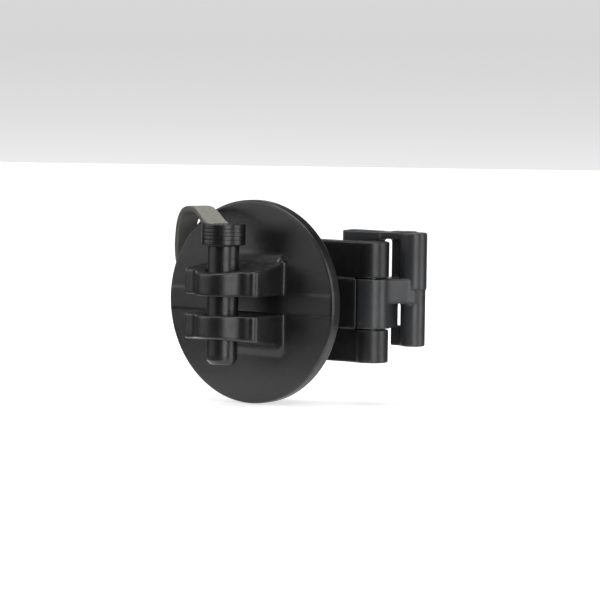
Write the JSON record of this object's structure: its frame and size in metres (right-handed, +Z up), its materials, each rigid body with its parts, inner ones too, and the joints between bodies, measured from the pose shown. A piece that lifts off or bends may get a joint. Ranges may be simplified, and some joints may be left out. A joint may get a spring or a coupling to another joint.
{
  "type": "fence insulator",
  "caption": "Pin-lock electric fence insulator for a studded steel T-post: round shield, two ears closed by a tethered pin, and a hinged rear jaw.",
  "frame": {"origin": "centre of the seat, the flat face of the body that bears on the front of the post's flange", "axes": "+Y points towards the post and -Y towards the wire; +Z is up along the post and along the lock pin; +X is to the right seen from the wire's side, where the hinge is"},
  "size_m": [0.0607, 0.0486, 0.05],
  "materials": {
    "body_plastic": "moulded black polyethylene, satin",
    "jaw_plastic": "moulded black polyethylene, satin",
    "pin_steel": "plain steel pin",
    "pin_plastic": "moulded black polyethylene, satin",
    "strap_plastic": "thin flexible black strap that shows grey-olive in the light"
  },
  "bodies": {
    "insulator": {"insulator_body": "body_plastic", "hinge_pin": "pin_steel"},
    "jaw": {"rear_jaw": "jaw_plastic"},
    "pin": {"lock_pin": "pin_plastic", "pin_tether": "strap_plastic"}
  },
  "joints": [
    {"name": "jaw_hinge", "type": "hinge", "parent": "insulator", "child": "jaw", "pos_m": [0.0237, -0.0004, 0], "axis": [0, 0, -1], "range_deg": [0, 90]},
    {"name": "pin_slide", "type": "slide", "parent": "insulator", "child": "pin", "axis": [0, 0, 1], "range_m": [-0.005, 0.024], "deforming": ["pin_tether"]}
  ]
}
